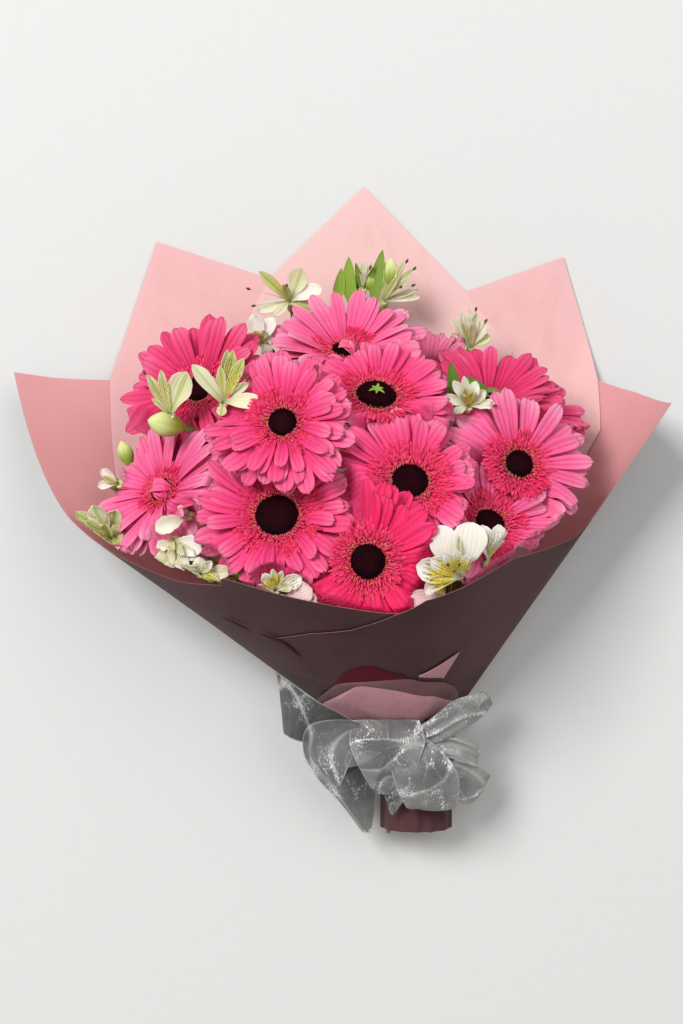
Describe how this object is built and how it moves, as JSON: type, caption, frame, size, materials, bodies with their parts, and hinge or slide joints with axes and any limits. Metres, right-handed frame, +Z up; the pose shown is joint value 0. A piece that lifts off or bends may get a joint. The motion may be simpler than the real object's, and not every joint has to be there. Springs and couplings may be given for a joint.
{
  "type": "wrapped gerbera bouquet",
  "caption": "Hand-tied bouquet lying on its back: hot-pink gerberas and white alstroemeria sprays in an open cone of pink paper, tied at the stems with a sheer ribbon bow.",
  "frame": {"origin": "bottom centre of the bounding box, on the surface that the bouquet lies on", "axes": "+Z up off the surface towards the viewer, +Y along the bouquet from the tied handle to the flowers, +X across it to the right as seen from above"},
  "size_m": [0.5204, 0.5322, 0.2185],
  "materials": {
    "paper": "matt, soft pink inside, dusky mauve outside",
    "gerbera_petals": "satin petals with fine lengthwise ridges",
    "gerbera_eye": "matt, near-black purple florets",
    "gerbera_stem": "soft green, faintly downy",
    "white_petals": "satin white and cream, yellow throats",
    "spray_greens": "smooth yellow-green stems, leaves and buds",
    "ribbon": "sheer silver-grey organza with bright glints"
  },
  "bodies": {
    "root": {"paper_left_wrap": "paper", "paper_right_wrap": "paper", "paper_back_left": "paper", "paper_back_right": "paper", "paper_back": "paper", "gerbera_a_petals": "gerbera_petals", "gerbera_a_eye": "gerbera_eye", "gerbera_a_stem": "gerbera_stem", "gerbera_b_petals": "gerbera_petals", "gerbera_b_eye": "gerbera_eye", "gerbera_b_stem": "gerbera_stem", "gerbera_c_petals": "gerbera_petals", "gerbera_c_eye": "gerbera_eye", "gerbera_c_stem": "gerbera_stem", "gerbera_d_petals": "gerbera_petals", "gerbera_d_eye": "gerbera_eye", "gerbera_d_stem": "gerbera_stem", "gerbera_e_petals": "gerbera_petals", "gerbera_e_eye": "gerbera_eye", "gerbera_e_stem": "gerbera_stem", "gerbera_f_petals": "gerbera_petals", "gerbera_f_eye": "gerbera_eye", "gerbera_f_stem": "gerbera_stem", "gerbera_g_petals": "gerbera_petals", "gerbera_g_eye": "gerbera_eye", "gerbera_g_stem": "gerbera_stem", "gerbera_h_petals": "gerbera_petals", "gerbera_h_eye": "gerbera_eye", "gerbera_h_stem": "gerbera_stem", "gerbera_i_petals": "gerbera_petals", "gerbera_i_eye": "gerbera_eye", "gerbera_i_stem": "gerbera_stem", "gerbera_j_petals": "gerbera_petals", "gerbera_j_eye": "gerbera_eye", "gerbera_j_stem": "gerbera_stem", "gerbera_k_petals": "gerbera_petals", "gerbera_k_eye": "gerbera_eye", "gerbera_k_stem": "gerbera_stem", "gerbera_l_petals": "gerbera_petals", "gerbera_l_eye": "gerbera_eye", "gerbera_l_stem": "gerbera_stem", "gerbera_m_petals": "gerbera_petals", "gerbera_m_eye": "gerbera_eye", "gerbera_m_stem": "gerbera_stem", "alstroemeria_1_flowers": "white_petals", "alstroemeria_1_stem": "spray_greens", "alstroemeria_2_flowers": "white_petals", "alstroemeria_2_stem": "spray_greens", "alstroemeria_3_flowers": "white_petals", "alstroemeria_3_stem": "spray_greens", "alstroemeria_4_flowers": "white_petals", "alstroemeria_4_stem": "spray_greens", "alstroemeria_5_flowers": "white_petals", "alstroemeria_5_stem": "spray_greens", "alstroemeria_6_flowers": "white_petals", "alstroemeria_6_stem": "spray_greens", "alstroemeria_7_flowers": "white_petals", "alstroemeria_7_stem": "spray_greens", "ribbon_band": "ribbon", "ribbon_bow": "ribbon"}
  },
  "joints": []
}
